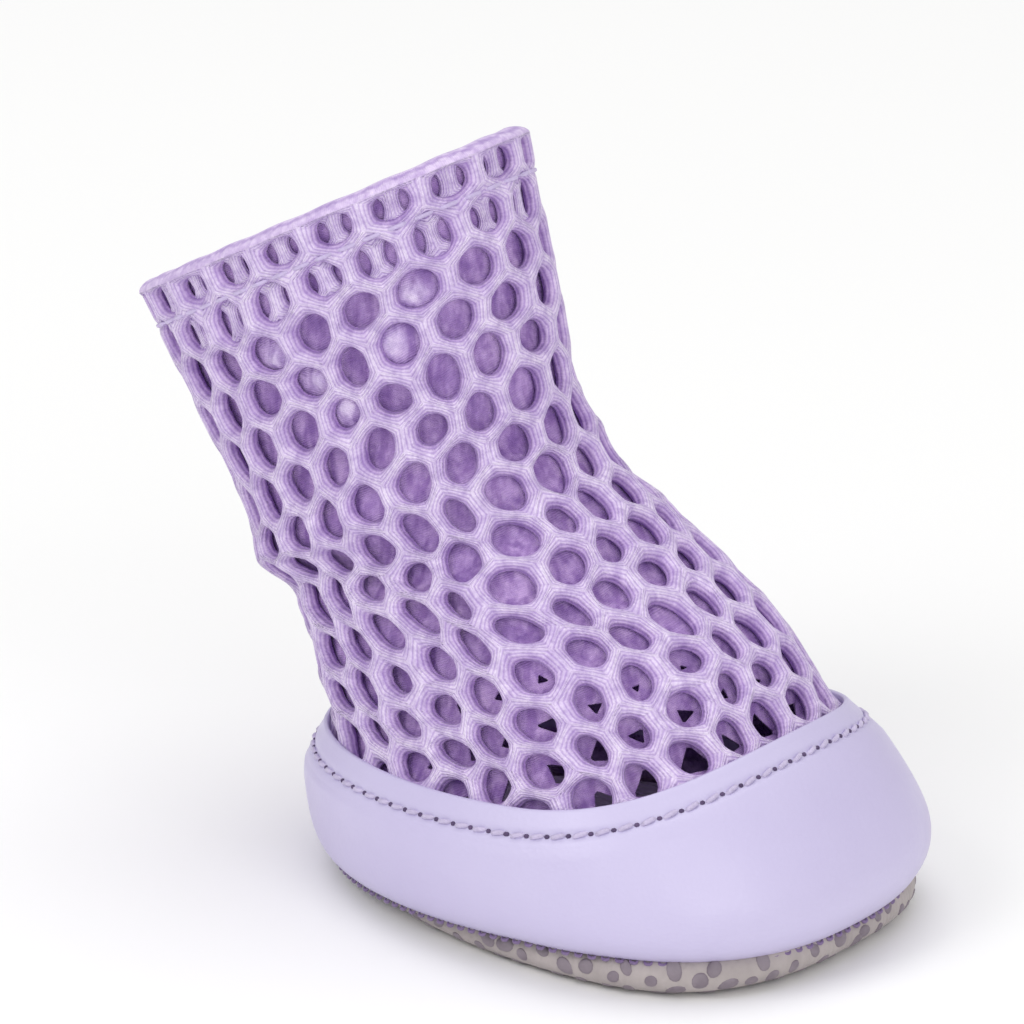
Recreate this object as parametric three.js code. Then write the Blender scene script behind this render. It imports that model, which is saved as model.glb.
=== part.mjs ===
// A slip-on boot for a small dog. A mesh upper, with a hem turned in at its collar, leans back over the heel.
// A leather rand wraps the foot from heel to toe, a soft pad is the outsole, and a thin insole lies inside.
// Millimetres, +X to the toe, +Z up. The origin is on the floor, under the middle of the sole.
import * as THREE from "three";

// Driving sizes of the whole boot
const FOOT_LENGTH = 70; // over the rand, heel to toe
const BALL_WIDTH = 53; // over the rand, at its widest
const BOOT_HEIGHT = 79.4; // floor to the front of the collar

// Thicknesses of the materials, and the gap between pieces that touch
const MESH_WALL = 2;
const HEM_WALL = 3.2; // the mesh doubled on itself
const HEM_DEPTH = 9;
const HEM_CROWN = 0.7; // how far the fold stands above the collar's edge
const RAND_WALL = 1.2;
const INSOLE_THICKNESS = 1.7;
const GAP = 0.3;

// The outsole's top is a plane that rises to the toe. Its underside is flat in the middle and springs up at
// both ends.
const SOLE_TOP_TOE = 4.3;
const SOLE_TOP_HEEL = 2.7;
const FLAT_FRONT = 20;
const FLAT_BACK = -20;
const TOE_SPRING = 0.8;
const HEEL_SPRING = 1;

const upperHalfLength = FOOT_LENGTH / 2 - RAND_WALL - GAP;
const upperHalfWidth = BALL_WIDTH / 2 - RAND_WALL - GAP;

// Sections of the last that the upper is shaped on, from the feather edge up to the collar. Each is an
// egg-shaped ring in a plane that tilts from its back end to its front end, with its widest place between the
// two. Lengths are shares of half the upper's foot length, heights are shares of the boot's height and widths
// are shares of the upper's half width. Toe is the exponent that squares off the ring's front half.
const SECTION_COLUMNS = ["name", "front", "frontZ", "back", "backZ", "wide", "width", "toe"];
const SECTIONS = table(SECTION_COLUMNS, [
  ["feather", 0.83, 0.0617, -0.82, 0.039, 0.16, 0.83, 2.4],
  ["turn", 0.92, 0.083, -0.965, 0.06, 0.17, 0.96, 2.4],
  ["bulge", 0.95, 0.122, -1.01, 0.12, 0.16, 0.995, 2.3],
  ["rand", 0.83, 0.203, -1.003, 0.153, 0.14, 0.94, 2.2],
  ["topline", 0.655, 0.282, -0.99, 0.184, 0.1, 0.848, 2.1],
  ["vamp", 0.445, 0.384, -1.06, 0.235, 0, 0.77, 2.1],
  ["instep", 0.085, 0.494, -1.11, 0.288, -0.28, 0.68, 2.1],
  ["ankle", -0.19, 0.621, -1.239, 0.349, -0.62, 0.584, 2.15],
  ["shaft", -0.32, 0.82, -1.468, 0.506, -0.87, 0.596, 2.15],
  ["collar", -0.443, 1, -1.76, 0.698, -1.08, 0.656, 2.2],
]);
const HEEL_SQUARENESS = 2.05;

// Soft folds where the shaft bends back over the heel. Level counts sections, angle is round from the toe in
// degrees, and height is in millimetres.
const FOLD_COLUMNS = ["name", "level", "angle", "height", "levelReach", "angleReach"];
const FOLDS = table(FOLD_COLUMNS, [
  ["heel_roll", 7.13, 180, 1.5, 0.22, 62],
  ["heel_crease", 6.62, 180, -0.8, 0.22, 55],
  ["ankle_crease", 7.05, 0, -0.5, 0.3, 60],
]);

// Levels of the rand's two edges: it starts where the upper turns under, and its top line dips at the sides
const RAND_START = 0.8;
const RAND_TOP = 4;
const RAND_SIDE_DIP = 0.45;

// The outsole's outline at its widest, and the flat in the middle of its underside
const SOLE_OVAL = { front: 30.9, back: -29, wide: 9, halfWidth: 23.4, toe: 2.6 };
const FLAT_OVAL = { front: FLAT_FRONT, back: FLAT_BACK, wide: 4, halfWidth: 15, toe: 2.4 };

// The outsole's edge, from its underside round to its top: how far each ring is drawn in from the outline,
// and its share of the way up the edge
const SOLE_PROFILE = table(["inset", "share"], [
  [6, 0],
  [3, 0],
  [1.5, 0.1],
  [0.5, 0.24],
  [0.1, 0.38],
  [0, 0.5],
  [0.45, 0.82],
  [1.4, 1],
]);
const INSOLE_EDGE = 0.5; // how much smaller the insole's faces are than its middle

// How finely the solids are faceted
const ROUND_STEPS = 48;
const RAND_STEPS = 8;
const SHAFT_STEPS = 26;
const NORMAL_STEP = 0.01; // in radians and levels

const collarLevel = SECTIONS.length - 1;
const angles = Array.from({ length: ROUND_STEPS }, (_, i) => (2 * Math.PI * i) / ROUND_STEPS);

/** Rows of values as records with named columns. */
function table(columns, rows) {
  return rows.map((row) => Object.fromEntries(columns.map((column, i) => [column, row[i]])));
}

/** How far the underside of the sole has risen off the floor at a place along the foot. */
function springAt(x) {
  const toe = Math.max(0, (x - FLAT_FRONT) / (SOLE_OVAL.front - FLAT_FRONT));
  const heel = Math.max(0, (FLAT_BACK - x) / (FLAT_BACK - SOLE_OVAL.back));
  return TOE_SPRING * toe ** 2 + HEEL_SPRING * heel ** 2;
}

/** Height of the sole's top plane at a place along the foot. */
function soleTopAt(x) {
  return THREE.MathUtils.mapLinear(x, SOLE_OVAL.back, SOLE_OVAL.front, SOLE_TOP_HEEL, SOLE_TOP_TOE);
}

/** A cosine or sine raised so that the oval it draws is squarer than an ellipse. */
function squared(value, exponent) {
  return Math.sign(value) * Math.abs(value) ** (2 / exponent);
}

/** The point of an egg-shaped ring, seen from above, at an angle round from the toe. */
function eggPoint(egg, angle) {
  const cosine = Math.cos(angle);
  const exponent = cosine > 0 ? egg.toe : HEEL_SQUARENESS;
  const reach = cosine > 0 ? egg.front - egg.wide : egg.wide - egg.back;
  const x = egg.wide + reach * squared(cosine, exponent);
  const y = egg.halfWidth * squared(Math.sin(angle), exponent);
  return new THREE.Vector2(x, y);
}

/** The outline of one section of the last, seen from above, in millimetres. */
function sectionEgg(section) {
  return {
    front: section.front * upperHalfLength,
    back: section.back * upperHalfLength,
    wide: section.wide * upperHalfLength,
    halfWidth: section.width * upperHalfWidth,
    toe: section.toe,
  };
}

/** The point of one section of the last at an angle round from the toe. */
function sectionPoint(section, angle) {
  const egg = sectionEgg(section);
  const { x, y } = eggPoint(egg, angle);
  const rise = THREE.MathUtils.mapLinear(x, egg.back, egg.front, section.backZ, section.frontZ);
  return new THREE.Vector3(x, y, rise * BOOT_HEIGHT);
}

/** The smooth line up the last at one angle, through all the sections. */
function lastLine(angle) {
  const points = SECTIONS.map((section) => sectionPoint(section, angle));
  return new THREE.CatmullRomCurve3(points, false, "catmullrom", 0.5);
}

/** The smooth last at an angle and a level, where level counts the sections. */
function lastPoint(angle, level) {
  return lastLine(angle).getPoint(level / collarLevel);
}

/** The outward direction of the last. */
function lastNormal(angle, level) {
  const step = NORMAL_STEP;
  const low = Math.max(0, level - step);
  const high = Math.min(collarLevel, level + step);
  const round = lastPoint(angle + step, level).sub(lastPoint(angle - step, level));
  const rise = lastPoint(angle, high).sub(lastPoint(angle, low));
  return round.cross(rise).normalize();
}

/** How far the folds lift the cloth off the last. */
function foldHeight(angle, level) {
  let height = 0;
  for (const fold of FOLDS) {
    const turned = angle - THREE.MathUtils.degToRad(fold.angle);
    const across = Math.atan2(Math.sin(turned), Math.cos(turned)) / THREE.MathUtils.degToRad(fold.angleReach);
    const up = (level - fold.level) / fold.levelReach;
    height += fold.height * Math.exp(-across * across - up * up);
  }
  return height;
}

/** A ring of points that lies a distance outside the last, at a level that may change round the foot. */
function lastRing(levelAt, distance) {
  return angles.map((angle) => {
    const level = levelAt(angle);
    const lift = distance + foldHeight(angle, level);
    return lastPoint(angle, level).addScaledVector(lastNormal(angle, level), lift);
  });
}

/** The rand's top line: high at toe and heel, dipped along both sides. */
function randTopLevel(angle) {
  return RAND_TOP - RAND_SIDE_DIP * Math.sin(angle) ** 2;
}

/** Level at a share of the way up the rand. */
function randLevel(share) {
  return (angle) => THREE.MathUtils.lerp(RAND_START, randTopLevel(angle), share);
}

/** Level at a share of the way from the rand's top line to the collar. */
function shaftLevel(share) {
  return (angle) => THREE.MathUtils.lerp(randTopLevel(angle), collarLevel, share);
}

/** A ring drawn in from an egg-shaped outline, at a height that may change along the foot. */
function padRing(egg, inset, heightAt) {
  const smaller = {
    ...egg,
    front: egg.front - inset,
    back: egg.back + inset,
    halfWidth: egg.halfWidth - inset,
  };
  return angles.map((angle) => {
    const { x, y } = eggPoint(smaller, angle);
    return new THREE.Vector3(x, y, heightAt(x));
  });
}

/** Joins each ring to the next. The faces point out where the rings run anticlockwise and upwards. */
function bandFaces(ringCount, closed) {
  const faces = [];
  const last = closed ? ringCount : ringCount - 1;
  for (let i = 0; i < last; i += 1) {
    const below = i * ROUND_STEPS;
    const above = ((i + 1) % ringCount) * ROUND_STEPS;
    for (let j = 0; j < ROUND_STEPS; j += 1) {
      const next = (j + 1) % ROUND_STEPS;
      faces.push(below + j, below + next, above + next);
      faces.push(below + j, above + next, above + j);
    }
  }
  return faces;
}

function geometryOf(points, faces) {
  const geometry = new THREE.BufferGeometry().setFromPoints(points);
  geometry.setIndex(faces);
  geometry.computeVertexNormals();
  return geometry;
}

/** A hollow wall: its rings run up the outside, over the rim, down the inside and back under. */
function wallGeometry(rings) {
  return geometryOf(rings.flat(), bandFaces(rings.length, true));
}

/** A solid pad: its rings run from under the middle, out round the edge and back over the top. */
function padGeometry(rings, bottomHeight, topHeight) {
  const points = rings.flat();
  const faces = bandFaces(rings.length, false);
  const top = (rings.length - 1) * ROUND_STEPS;
  const bottomCentre = points.push(new THREE.Vector3(0, 0, bottomHeight)) - 1;
  const topCentre = points.push(new THREE.Vector3(0, 0, topHeight)) - 1;
  for (let j = 0; j < ROUND_STEPS; j += 1) {
    const next = (j + 1) % ROUND_STEPS;
    faces.push(bottomCentre, next, j);
    faces.push(topCentre, top + j, top + next);
  }
  return geometryOf(points, faces);
}

/** A named piece with its own finish. */
function piece(name, geometry, color, roughness) {
  const mesh = new THREE.Mesh(geometry, new THREE.MeshStandardMaterial({ color, roughness, metalness: 0 }));
  mesh.name = name;
  return mesh;
}

/** The mesh upper: one wall from the feather edge to the collar, doubled where the hem is turned in. */
function meshUpper() {
  const hemShare = 1 - HEM_DEPTH / (BOOT_HEIGHT * (1 - SECTIONS[RAND_TOP].frontZ));
  const hemStep = Math.round(hemShare * SHAFT_STEPS);
  const outside = [lastRing(() => 0, 0)];
  const inside = [lastRing(() => 0, -MESH_WALL)];
  for (let i = 0; i < RAND_STEPS; i += 1) {
    outside.push(lastRing(randLevel(i / RAND_STEPS), 0));
    inside.push(lastRing(randLevel(i / RAND_STEPS), -MESH_WALL));
  }
  for (let i = 0; i <= SHAFT_STEPS; i += 1) {
    const level = shaftLevel(i / SHAFT_STEPS);
    outside.push(lastRing(level, 0));
    if (i <= hemStep) inside.push(lastRing(level, -MESH_WALL));
    if (i >= hemStep) inside.push(lastRing(level, -HEM_WALL));
  }
  const crown = lastRing(() => collarLevel, -HEM_WALL / 2);
  const front = lastPoint(0, collarLevel);
  const back = lastPoint(Math.PI, collarLevel);
  const shaftUp = new THREE.Vector3(back.z - front.z, 0, front.x - back.x).normalize();
  crown.forEach((point) => point.addScaledVector(shaftUp, HEM_CROWN));
  return piece("mesh_upper", wallGeometry([...outside, crown, ...inside.reverse()]), "#cdbde3", 0.8);
}

/** The leather rand: a strip round the foot that lies on the upper, from the sole seam to its top line. */
function leatherRand() {
  const outside = [];
  const inside = [];
  for (let i = 0; i <= RAND_STEPS; i += 1) {
    outside.push(lastRing(randLevel(i / RAND_STEPS), GAP + RAND_WALL));
    inside.push(lastRing(randLevel(i / RAND_STEPS), GAP));
  }
  return piece("leather_rand", wallGeometry([...outside, ...inside.reverse()]), "#cfc6ea", 0.45);
}

/** The outsole: a soft pad with a round edge, flat in the middle of its underside. */
function outsole() {
  const rings = SOLE_PROFILE.map(({ inset, share }) => {
    return padRing(SOLE_OVAL, inset, (x) => THREE.MathUtils.lerp(springAt(x), soleTopAt(x), share));
  });
  rings.unshift(padRing(FLAT_OVAL, 0, springAt));
  return piece("outsole", padGeometry(rings, 0, soleTopAt(0)), "#b9b2ae", 0.85);
}

/** The insole: a thin pad on the outsole, inside the upper's turned-in edge. */
function insole() {
  const above = (height) => (x) => soleTopAt(x) + height;
  const oval = sectionEgg(SECTIONS[0]);
  const inset = MESH_WALL + GAP;
  const rings = [
    padRing(oval, inset + INSOLE_EDGE, above(GAP)),
    padRing(oval, inset, above(GAP + INSOLE_THICKNESS / 2)),
    padRing(oval, inset + INSOLE_EDGE, above(GAP + INSOLE_THICKNESS)),
  ];
  const under = soleTopAt(0) + GAP;
  return piece("insole", padGeometry(rings, under, under + INSOLE_THICKNESS), "#8f84a6", 0.9);
}

const boot = new THREE.Group();
boot.name = "mesh_dog_boot";
boot.add(outsole(), insole(), meshUpper(), leatherRand());

export default boot;
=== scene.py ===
"""The looks of a slip-on mesh boot for a small dog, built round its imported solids.

Sizes are in millimetres and become metres where a mesh is made. +X is to the toe and +Z is up. An angle runs
round the foot from the toe, and a level counts the sections of the last from the feather edge to the collar.
"""

import math
from collections import namedtuple

import bmesh
import bpy
import numpy as np
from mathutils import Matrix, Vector, kdtree


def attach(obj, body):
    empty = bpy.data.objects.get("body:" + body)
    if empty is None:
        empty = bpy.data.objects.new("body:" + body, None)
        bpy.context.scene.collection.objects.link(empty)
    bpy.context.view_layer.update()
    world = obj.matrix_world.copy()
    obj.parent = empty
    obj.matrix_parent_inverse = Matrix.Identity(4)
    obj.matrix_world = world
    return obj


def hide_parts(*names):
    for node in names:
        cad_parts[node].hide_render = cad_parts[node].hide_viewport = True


MM = 0.001
SEED = 11
FULL_TURN = 2 * math.pi
TINY = 0.001
NORMAL_STEP = 0.01  # in radians and levels
MERGE_DISTANCE = 0.02

# Driving sizes, as in the solids
FOOT_LENGTH = 70
BALL_WIDTH = 53
BOOT_HEIGHT = 79.4
RAND_WALL = 1.2
GAP = 0.3
UPPER_HALF_LENGTH = FOOT_LENGTH / 2 - RAND_WALL - GAP
UPPER_HALF_WIDTH = BALL_WIDTH / 2 - RAND_WALL - GAP

# Sections of the last, feather edge to collar. Lengths are shares of half the upper's foot length, heights of
# the boot's height, widths of the upper's half width. Toe squares off the front half of the ring.
SECTION_COLUMNS = ("front", "front_z", "back", "back_z", "wide", "width", "toe")
SECTIONS = (
    (0.83, 0.0617, -0.82, 0.039, 0.16, 0.83, 2.4),  # feather
    (0.92, 0.083, -0.965, 0.06, 0.17, 0.96, 2.4),  # turn
    (0.95, 0.122, -1.01, 0.12, 0.16, 0.995, 2.3),  # bulge
    (0.83, 0.203, -1.003, 0.153, 0.14, 0.94, 2.2),  # rand
    (0.655, 0.282, -0.99, 0.184, 0.1, 0.848, 2.1),  # topline
    (0.445, 0.384, -1.06, 0.235, 0, 0.77, 2.1),  # vamp
    (0.085, 0.494, -1.11, 0.288, -0.28, 0.68, 2.1),  # instep
    (-0.19, 0.621, -1.239, 0.349, -0.62, 0.584, 2.15),  # ankle
    (-0.32, 0.82, -1.468, 0.506, -0.87, 0.596, 2.15),  # shaft
    (-0.443, 1, -1.76, 0.698, -1.08, 0.656, 2.2),  # collar
)
HEEL_SQUARENESS = 2.05
COLLAR = len(SECTIONS) - 1

# Creases of the slack cloth: level, angle round from the toe in degrees, height, and how far each reaches in
# levels and in degrees. The first three are the folds that the solid has.
CREASES = (
    (7.13, 180, 1.5, 0.22, 62),
    (6.62, 180, -0.8, 0.22, 55),
    (7.05, 0, -0.5, 0.3, 60),
    (7.05, 262, 0.9, 0.2, 30),
    (6.7, 255, -0.8, 0.22, 34),
    (7.5, 290, -0.7, 0.22, 26),
    (6.95, 312, 0.8, 0.2, 24),
    (6.6, 330, -0.6, 0.22, 26),
    (6.15, 292, 0.6, 0.24, 20),
    (5.85, 318, -0.6, 0.24, 20),
    (7.05, 98, 0.9, 0.2, 30),
    (6.7, 105, -0.8, 0.22, 34),
    (7.5, 70, -0.7, 0.22, 26),
    (6.95, 48, 0.8, 0.2, 24),
    (6.15, 64, 0.6, 0.24, 20),
    (8.2, 240, 0.5, 0.4, 24),
    (8.1, 285, -0.4, 0.4, 22),
    (8.2, 120, 0.5, 0.4, 24),
    (8.1, 75, -0.4, 0.4, 22),
    (5.6, 300, 0.4, 0.45, 26),
    (5.6, 60, 0.4, 0.45, 26),
)

# Lines of stitches. Slant is in levels over the length of a stitch.
Stitch = namedtuple("Stitch", "pitch length radius slant")
RAND_STITCH = Stitch(pitch=2.4, length=1.75, radius=0.26, slant=0.05)
HEM_STITCH = Stitch(pitch=2.9, length=2.3, radius=0.23, slant=0)
SEAM_STITCH = Stitch(pitch=1.5, length=0.85, radius=0.2, slant=0)
STITCH_POINTS = 7
STITCH_SINK = 1.6  # radii by which its ends go in
STITCH_SIDES = 8
STITCH_END = 0.97  # share of its half length at which its rounded end is cut off
STITCH_ROUNDING = 6
LEAN = (0.3, 0.2, 1.0)  # a direction that no stitch runs along
LINE_STEPS = 1441  # for measuring along a line of stitches

# The rand's two edges, in levels, and the shape of its strip
RAND_START = 0.8
RAND_TOP = 4
RAND_SIDE_DIP = 0.45
RAND_STEPS = 288
RAND_LINE_STEPS = 60  # for measuring down it
RAND_DROPS = (0.12, 0.35, 0.8, *np.linspace(1.4, 4.2, 13))  # rings of its upper part, below the top edge
RAND_LOWER_STEPS = 24
RAND_ROLL = 0.62  # level of its lower edge, which rolls under
RAND_LIP = ((1.42, 0.12), (1.25, 0.22), (1.0, 0.27), (0.75, 0.2), (0.5, -0.1))  # height and drop of the roll
RAND_HANG_START = 2.0  # level from which it hangs lower than the last, down over the sole's cloth
RAND_HANG = 0.15  # how far its edge hangs down at the sides, and how much more at the toe and at the heel
RAND_TOE_HANG = 0.75
RAND_HEEL_HANG = 1.3
RAND_TOE_NARROWING = 1.3  # how much sooner the toe's hang ends than the heel's
RAND_SKIVE = 0.7  # how much thinner the leather is at its top edge
RAND_SKIVE_REACH = 3.4
RAND_CUT = 0.3  # how far its face is drawn in at the very top
RAND_CORNER = 0.12  # how much its top corner is rounded off, and how far down
RAND_CORNER_REACH = 0.2
STITCH_DROP = 2.8  # of its line of stitches, below its top edge
STITCH_DENT = 0.25
STITCH_DENT_REACH = 0.5
STITCH_BED = 0.05  # how far the thread's middle lies below the leather's face
NEEDLE_HOLE_BED = 0.24
NEEDLE_HOLE_LENGTH = 0.55
NEEDLE_HOLE_RADIUS = 0.24
NEEDLE_HOLE_POINTS = 5
SEAM_LEVEL = 0.77  # of the seam that shows under its lower edge, with its height off the last and its drop
SEAM_HEIGHT = 1.05
SEAM_DROP = 0.9

# The mesh: columns round the shaft, the spacing of its rows, and its thickness
MESH_COLUMNS = 19
MESH_ROW = 4.5
MESH_THICKNESS = 1.6
FIRST_ROW_DROP = 2.45  # from the folded edge to the first row of holes
ANKLE_HEIGHT = 50  # along the shaft: below it the columns keep one spacing
LAST_ROW = -20
CELL_REACH = 15  # columns looked at on each side of the front
MESH_OVERLAP = 0.7  # levels by which it goes down behind the rand
SEAM_PULL = 3.0  # columns over which it stretches to meet its seam
HEX_SIDE = 0.5  # half the width of a cell, in columns
HEX_CORNER = 0.28  # half the upright side of a cell, in rows
EDGE_STEPS = 4  # points on each side of a cell
YARN_ROUND = 14.0  # lengths in the flat layout: the way round a hole, and a strand's cross-section
YARN_ACROSS = 4.0

# The table that finds angles and levels for columns and rows
TABLE_TURN = 1.4  # half turns each way from the toe
TABLE_ANGLES = 561
TABLE_BOTTOM = 2.4
TABLE_LEVELS = 300
TABLE_HEIGHT_STEP = 0.5
TABLE_COLUMN_STEP = 0.05
TABLE_COLUMNS = 17  # each way from the front
TABLE_END = 1.001  # keeps a place just inside the table's last entry

# Holes: half widths in columns and rows, squareness, and how much their sizes spread
Hole = namedtuple("Hole", "width height squareness spread")
BODY_HOLE = Hole(0.3, 0.415, 2.15, 0.07)
HEM_HOLE = Hole(0.3, 0.31, 2.3, 0.05)
HEM_LAYER_HOLE = Hole(0.36, 0.41, 2.15, 0.08)
FOOT_HOLE_GROWTH = -0.04  # how much the holes' size changes over the foot
FOOT_ROWS = (6, 10)  # rows below the collar over which it changes
HOLE_TILT = 0.15  # how far the holes lean either way
LOOSE_ROWS = (4, 8)  # rows below the collar between which the holes become less even, and how much
LOOSENESS = (1.0, 1.8)

# Waves that pull the pattern out of true: size, waves round the shaft, turn from row to row, and start
WAVES_ACROSS = ((0.05, 3, 1.9, 0), (0.04, 7, -1.1, 2))
WAVES_UP = ((0.05, 4, 1.3, 1), (0.04, 6, 2.3, 0))
WAVES_START = 1.5  # rows below the collar over which they set in

# Places where the cloth is bunched, so that rows of holes close up: column and row of the middle, how far
# each reaches in columns and in rows, and how hard it pulls, in rows
BUNCHES = (
    (-8.0, -6.6, 2.6, 1.6, 0.5),
    (8.0, -6.6, 2.6, 1.6, 0.5),
    (-1.5, -6.2, 2.5, 1.8, 0.12),
    (-4.5, -7.4, 1.4, 1.2, 0.25),
    (4.5, -7.4, 1.4, 1.2, 0.25),
    (-3.0, -8.4, 1.2, 1.2, 0.3),
    (-1.0, -9.5, 1.2, 1.0, 0.25),
    (3.0, -8.6, 1.2, 1.2, 0.3),
)

# Cells where the inner layer bulges out into the hole and catches the light, and where it is also painted
# pale as
# painted light: column and row, and how far off the cell's middle the bulge lies
PALE_SPOTS = (
    (-5, -2, 0.1, -0.16),
    (-4.5, -3, 0.16, 0.0),
    (-4, -4, 0.02, 0.12),
    (-2, -2, -0.12, -0.12),
    (-2.5, -3, -0.14, 0.1),
    (3, -2, 0.1, -0.1),
    (5.5, -3, -0.1, 0.1),
    (8, -4, 0.1, 0.0),
)
PALE_REACH = (0.34, 0.4)  # half widths of a bulge, in columns and rows
PALE_BULGE = 1.15  # how far it stands out

# The hem: the mesh is folded in over itself
HEM_WALL = 3.2
FOLD_START = 0.7  # below the collar's edge
FOLD_RISE = 0.12
FOLD_SCALLOP = 0.5  # shares of that rise that follow the columns, and that sway round the collar
FOLD_SWAY = 0.3
FOLD_SWAYS = 3
FOLD_STEPS = 11
FOLD_COLUMN_STEPS = 8
FOLD_SHADE = 0.12
FOLD_YARN = 1.6  # length that the flat layout gives to the way over the fold
FOLD_ROW = (FIRST_ROW_DROP - FOLD_START) / MESH_ROW
HEM_STITCH_DROP = 4.6
HEM_STITCH_ROW = (FIRST_ROW_DROP - HEM_STITCH_DROP) / MESH_ROW
HEM_STITCH_BED = 0.25
HEM_STITCH_DENT = 0.35
HEM_STITCH_REACH = 0.13  # of that dent, in rows
HEM_LINE_STEPS = 800
HEM_LAST_ROW = -2  # of the folded-in layer
HEM_CUT_ROW = -1.5  # where that layer ends, behind the strands under the second row of holes
HEM_CUT_WAVE = 0.2
HEM_SHADE = 0.6
HEM_STRANDS = (0.9, 1.64)  # depths of the strands of that layer that show through the holes
HEM_INSIDE = (2.05, HEM_WALL)  # depths of the same layer where it shows inside the collar

# Cross-section of a strand, from the middle of the strand on the outside, round the hole's edge, to its
# inside: share of the way from the hole to the strand's middle, and depth as a share of its thickness
STRAND_PROFILE = (
    (1.0, 0.0),
    (0.82, 0.01),
    (0.6, 0.05),
    (0.4, 0.13),
    (0.2, 0.29),
    (0.07, 0.51),
    (0.0, 0.76),
    (0.25, 0.97),
    (1.0, 1.0),
)

# The same for the inner layer, with the share of a pale bulge and of its own sag at each point
LINING_PROFILE = (
    (1.0, 0.0, 0.0, 0.0),
    (0.7, 0.0, 0.7, 0.35),
    (0.35, 0.05, 1.0, 0.75),
    (0.08, 0.1, 0.95, 0.98),
    (0.0, 0.12, 0.9, 1.0),
    (0.0, 0.88, 0.9, 1.0),
    (1.0, 1.0, 0.0, 0.0),
)
LINING_DEPTH = 1.68  # below the cloth's surface
LINING_SAG = 0.65  # how much deeper it lies in the middle of each cell
LINING_THICKNESS = 0.3
LINING_SHIFT = (0.15, -0.1)  # columns and rows by which its openings lie beside the holes
LINING_HOLE = 0.85  # inner radius of its three-cornered openings
LINING_HOLE_SIZES = (0.8, 1.15)
LINING_OPEN_BELOW = (33, 10)  # height under which it has openings, and how far down they reach full size
LINING_OPEN_AHEAD = (-14, 12)  # the same along the foot
LINING_LEAST_OPENING = 0.2
LINING_SHADE = 0.4

# The lower wall of the upper, inside the rand
FOOT_WALL_FACES = (0.25, 1.9)  # depths of its outside and inside
FOOT_WALL_DROP = 0.45  # levels from the rand's top edge down to its own
FOOT_WALL_STEPS = 160
FOOT_WALL_RINGS = 16
FOOT_WALL_YARN = (180.0, 40.0)

# The outsole
SOLE_FRONT = 30.9
SOLE_BACK = -29
SOLE_WIDE = 9
SOLE_HALF_WIDTH = 23.4
SOLE_TOE = 2.6
SOLE_TOP_TOE = 4.3
SOLE_TOP_HEEL = 2.7
FLAT_FRONT = 20
FLAT_BACK = -20
TOE_SPRING = 0.4
HEEL_SPRING = 1
SOLE_EDGE_INSET = 3
SOLE_RIM_INSET = 1.4
SOLE_WIDEST_SHARE = 0.5
SOLE_STEPS = 224
SOLE_EDGE_RINGS = (9, 6)  # under and over its widest line
SOLE_FACE_RINGS = (12, 10)  # of its underside and its top
SOLE_MIDDLE = 0.3  # half width of the innermost ring
WELT_PROFILE = ((0.0, -0.2), (0.0, 0.22), (0.3, 0.3), (0.6, 0.3), (0.85, 0.26))  # levels and heights

# The fine table of the sole's skin that the dots are laid on
SKIN_STEPS = 720
SKIN_RINGS = 40
SKIN_MIDDLE = 0.5
SKIN_RIM = 3  # rings at the top of the edge that take no dots

# The dots, in uneven rows
DOT_PITCH = 2.8
DOT_ROW = 0.87  # in pitches
DOT_COUNTS = (14, 11)  # along and across, each way from the middle
DOT_SCATTER = 0.32
DOT_REACH = SOLE_FRONT + 6
DOT_OFF_SKIN = 0.4  # a dot farther than this from the skin's table is left out
DOT_RADIUS = 0.88
DOT_SIZES = (0.72, 1.12)
DOT_STRETCH = (1.0, 1.28)
DOT_HEIGHT = 0.1
DOT_SIDES = 14
DOT_PROFILE = ((1.04, -0.25), (1.0, 0.35), (0.86, 0.85), (0.45, 1.0))  # shares of its radius and its height
DOT_LEAN = (0.36, 0.8, 0.48)  # a direction that no dot faces

# The insole: how far each ring is drawn in, and its share of the way up
INSOLE_THICKNESS = 1.7
INSOLE_INSET = 2.3
INSOLE_FACE = (17, 11, 6, 3, 1)
INSOLE_EDGE = ((0.3, 0.15), (0, 0.5), (0.3, 0.85))
INSOLE_STEPS = 128
INSOLE_LEAST_WIDTH = 0.3

# Tints of the yarn, which darken its colour
WHITE = (1, 1, 1)
FLECK = (0.74, 0.68, 0.82)
LOOP_TINT = (0.95, 0.93, 0.97)

# The floor, the lights and the camera. Lights have a place, a size in metres and a power in watts.
FLOOR_SIZE = 3.0
WORLD_STRENGTH = 0.62
LIGHT_AIM = (-0.01, 0, 0.035)
LIGHTS = {
    "key": ((-0.35, -0.85, 0.85), 0.6, 3.6),
    "fill": ((0.9, -0.55, 0.5), 0.9, 3.95),
    "top": ((-0.1, 0.2, 1.2), 0.9, 4),
}
CAMERA_AZIMUTH = 37
CAMERA_ELEVATION = 20
CAMERA_DISTANCE = 1000
CAMERA_TARGET = (-13, 0, 39)
CAMERA_VIEW = 106  # width of what it sees at the boot
CAMERA_CLIP = 0.01


# The last


def circle(steps):
    """Even angles round the boot."""
    return np.linspace(0, FULL_TURN, steps, endpoint=False)


def smooth_step(share):
    return share**2 * (3 - 2 * share)


def unit(vectors):
    return vectors / np.linalg.norm(vectors, axis=-1, keepdims=True)


def squared(value, exponent):
    return np.sign(value) * np.abs(value) ** (2 / exponent)


def egg_points(angle, front, back, wide, half_width, toe):
    """An egg-shaped outline seen from above, at each angle."""
    cosine = np.cos(angle)
    exponent = np.where(cosine > 0, toe, HEEL_SQUARENESS)
    reach = np.where(cosine > 0, front - wide, wide - back)
    return wide + reach * squared(cosine, exponent), half_width * squared(np.sin(angle), exponent)


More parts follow.
